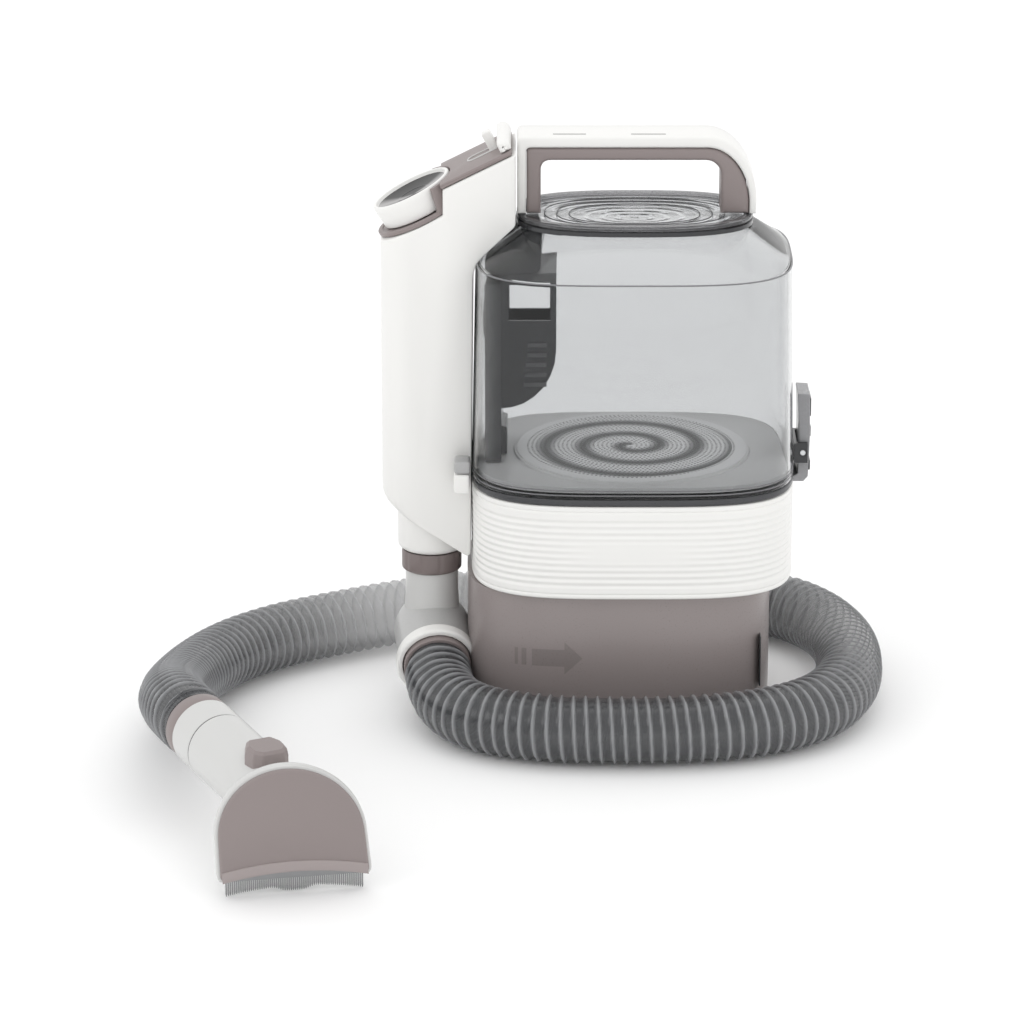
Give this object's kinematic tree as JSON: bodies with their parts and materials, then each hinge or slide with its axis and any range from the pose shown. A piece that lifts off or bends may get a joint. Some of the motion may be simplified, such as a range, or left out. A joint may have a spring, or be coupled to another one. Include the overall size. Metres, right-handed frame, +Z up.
{
  "type": "spot extractor",
  "caption": "Compact upright suction cleaner: clear tank over a motor base, a side duct column with a dial, and a ribbed hose to a comb pick-up tool.",
  "frame": {"origin": "middle of the clear tank's footprint, on the floor, at the underside of the base's centre pad", "axes": "+X from the duct column towards the latch, +Y towards the back with the exhaust grille, +Z up"},
  "size_m": [0.4361, 0.4585, 0.3468],
  "materials": {
    "warm_white": "fine satin, warm white",
    "taupe": "satin, warm grey-brown",
    "pale_grey_plastic": "satin, pale grey",
    "smoke_plastic": "gloss, smoke tinted and slightly see-through",
    "clear_plastic": "clear gloss with a light smoke tint",
    "dark_plastic": "near black, smooth",
    "rubber": "soft matt",
    "filter_felt": "fine felt",
    "steel": "brushed",
    "grey_plastic": "satin mid grey",
    "copper_winding": "varnished copper wire",
    "circuit_board": "green board",
    "hose_wall": "dark see-through corrugated tube"
  },
  "bodies": {
    "body": {"lower_housing": "smoke_plastic", "exhaust_grille": "taupe", "mains_inlet": "dark_plastic", "centre_pad": "rubber", "foot_front_left": "rubber", "foot_front_right": "rubber", "foot_rear_left": "rubber", "foot_rear_right": "rubber", "band_housing": "warm_white", "deck_plate": "grey_plastic", "floor_gasket": "rubber", "band_hook": "warm_white", "motor_bracket": "grey_plastic", "lower_bearing": "steel", "motor_top_plate": "grey_plastic", "motor_stator": "copper_winding", "fan_shroud": "grey_plastic", "motor_filter": "filter_felt", "column_shell": "warm_white", "riser_duct": "grey_plastic", "column_top_panel": "taupe", "column_end_cap": "warm_white", "dial_seat": "taupe", "control_board": "circuit_board", "port_collar": "warm_white", "hose_elbow": "pale_grey_plastic", "hose_cuff": "taupe", "hose": "hose_wall", "tool_head": "pale_grey_plastic", "tool_face": "taupe", "comb_blade": "steel", "tool_handle": "pale_grey_plastic", "tool_collar": "pale_grey_plastic", "tool_cuff": "taupe"},
    "rotor": {"motor_rotor": "steel", "fan_impeller": "grey_plastic"},
    "dial": {"dial_knob": "warm_white", "dial_face": "steel", "dial_spindle": "steel"},
    "slider": {"power_slider": "warm_white"},
    "lock": {"lock_ring": "taupe"},
    "elbow_button": {"elbow_key": "grey_plastic"},
    "tank": {"tank_shell": "clear_plastic", "tank_seal": "dark_plastic", "neck_ring": "dark_plastic", "tank_floor": "warm_white", "filter_screen": "steel", "filter_pad": "filter_felt", "tank_hook": "smoke_plastic", "inlet_duct": "dark_plastic", "inlet_hood": "dark_plastic", "latch_bracket": "smoke_plastic", "latch_pin": "steel"},
    "latch": {"latch_lever": "smoke_plastic"},
    "lid": {"lid_rim": "dark_plastic", "lid_cover": "clear_plastic", "handle_cover": "warm_white", "handle_grip": "taupe"},
    "trigger": {"tool_button": "taupe"},
    "ejector": {"hair_ejector": "grey_plastic"}
  },
  "joints": [
    {"name": "rotor_spin", "type": "hinge", "parent": "body", "child": "rotor", "pos_m": [0, 0, 0.05], "axis": [0, 0, 1], "continuous": true},
    {"name": "dial_turn", "type": "hinge", "parent": "body", "child": "dial", "pos_m": [-0.1218, 0, 0.2966], "axis": [-0.4472, 0, 0.8944], "range_deg": [-150, 150]},
    {"name": "power_slide", "type": "slide", "parent": "body", "child": "slider", "axis": [0.8944, 0, 0.4472], "range_m": [-0.01, 0]},
    {"name": "lock_ring_turn", "type": "hinge", "parent": "body", "child": "lock", "pos_m": [-0.1183, 0, 0.086], "axis": [0, 0, 1], "range_deg": [0, 30]},
    {"name": "elbow_button_press", "type": "slide", "parent": "body", "child": "elbow_button", "axis": [0, 0.5501, -0.8351], "range_m": [0, 0.0015], "stiffness_N_per_m": 400},
    {"name": "tank_lift_off", "type": "slide", "parent": "body", "child": "tank", "axis": [0.8192, 0, 0.5736], "range_m": [0, 0.22]},
    {"name": "latch_pivot", "type": "hinge", "parent": "tank", "child": "latch", "pos_m": [0.1002, 0, 0.1556], "axis": [0, -1, 0], "range_deg": [0, 4.5], "stiffness_Nm_per_rad": 0.5},
    {"name": "lid_lift", "type": "slide", "parent": "tank", "child": "lid", "axis": [0, 0, 1], "range_m": [0, 0.08]},
    {"name": "tool_button_press", "type": "slide", "parent": "body", "child": "trigger", "axis": [0, 0, -1], "range_m": [0, 0.003], "stiffness_N_per_m": 300},
    {"name": "ejector_slide", "type": "slide", "parent": "body", "child": "ejector", "axis": [0, 0, -1], "range_m": [0, 0.003]}
  ],
  "couplings": [
    {"joint": "ejector_slide", "follows": "tool_button_press", "ratio": 1}
  ]
}
